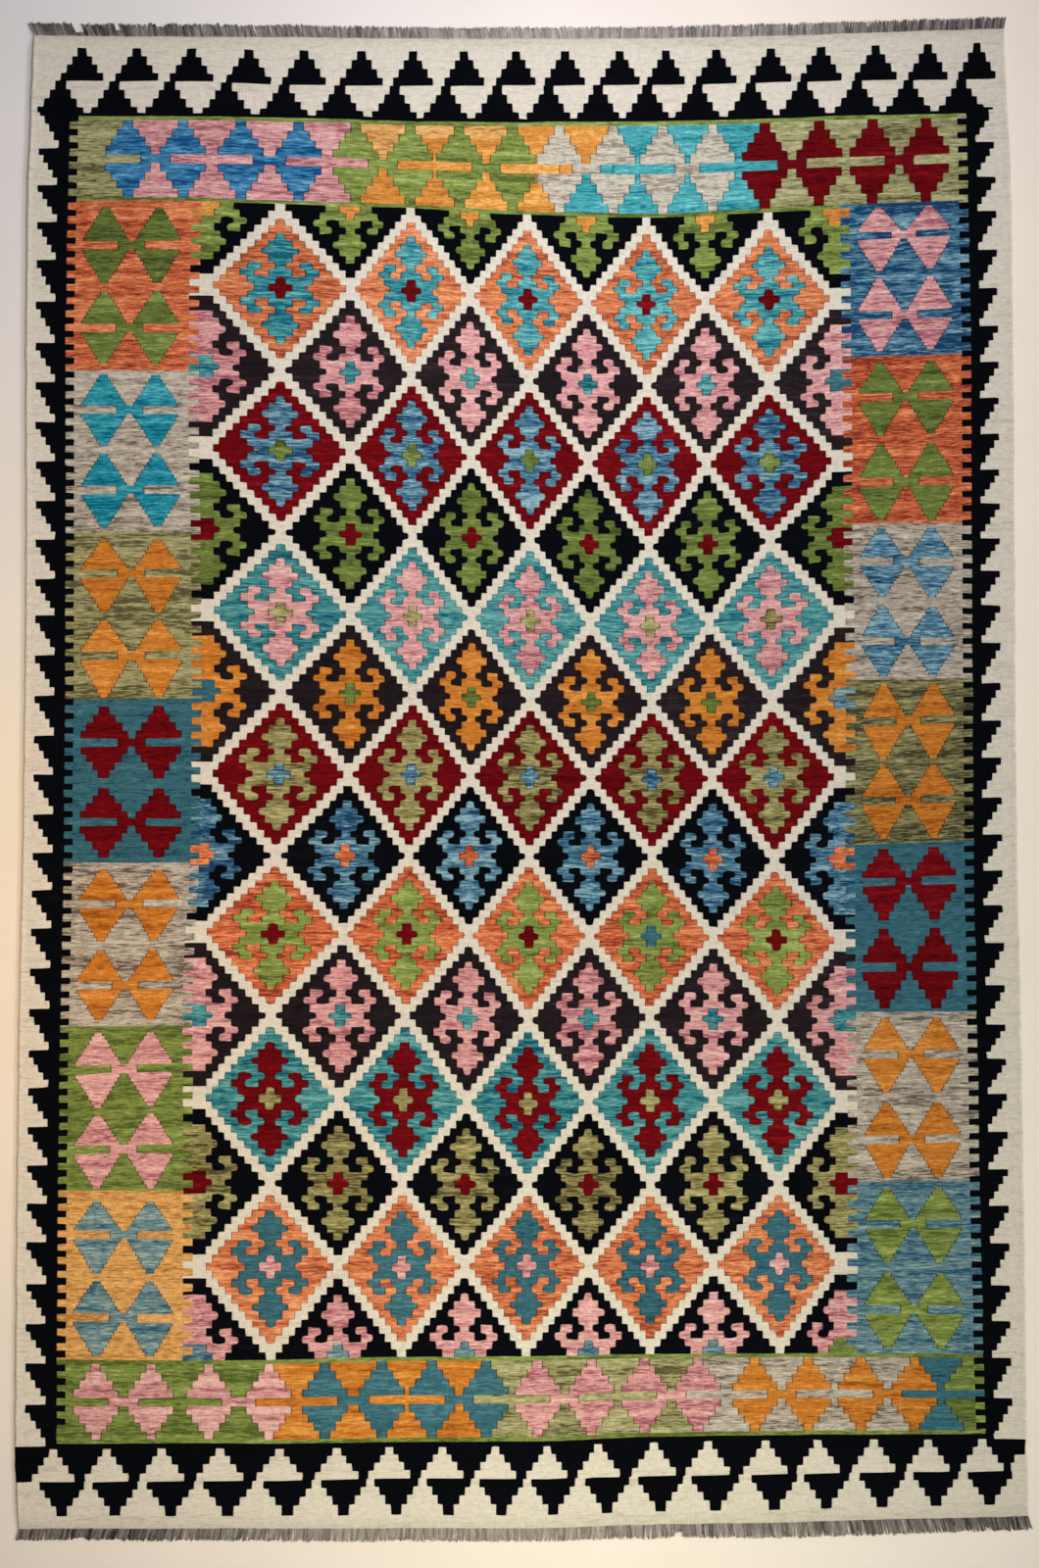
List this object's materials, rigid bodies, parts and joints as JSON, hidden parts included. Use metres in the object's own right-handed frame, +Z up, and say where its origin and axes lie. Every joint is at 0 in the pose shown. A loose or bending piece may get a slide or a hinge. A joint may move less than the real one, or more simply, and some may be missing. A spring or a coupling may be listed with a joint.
{
  "type": "kilim rug",
  "caption": "Flat-woven wool kilim rug, rectangular, with a stepped diamond field, patterned borders and a short warp fringe at both ends.",
  "frame": {"origin": "on the floor under the middle of the box that holds the whole rug with its fringes", "axes": "+Z up out of the patterned face, +Y along the rug's length towards the end that is at the top of the picture, +X across its width"},
  "size_m": [2.0418, 3.091, 0.003],
  "materials": {
    "kilim_wool": "matt hand-spun wool in many colours, slit-tapestry weave",
    "warp_wool": "matt undyed grey wool warp ends"
  },
  "bodies": {
    "root": {"rug_cloth": "kilim_wool", "fringe_top": "warp_wool", "fringe_bottom": "warp_wool"}
  },
  "joints": []
}
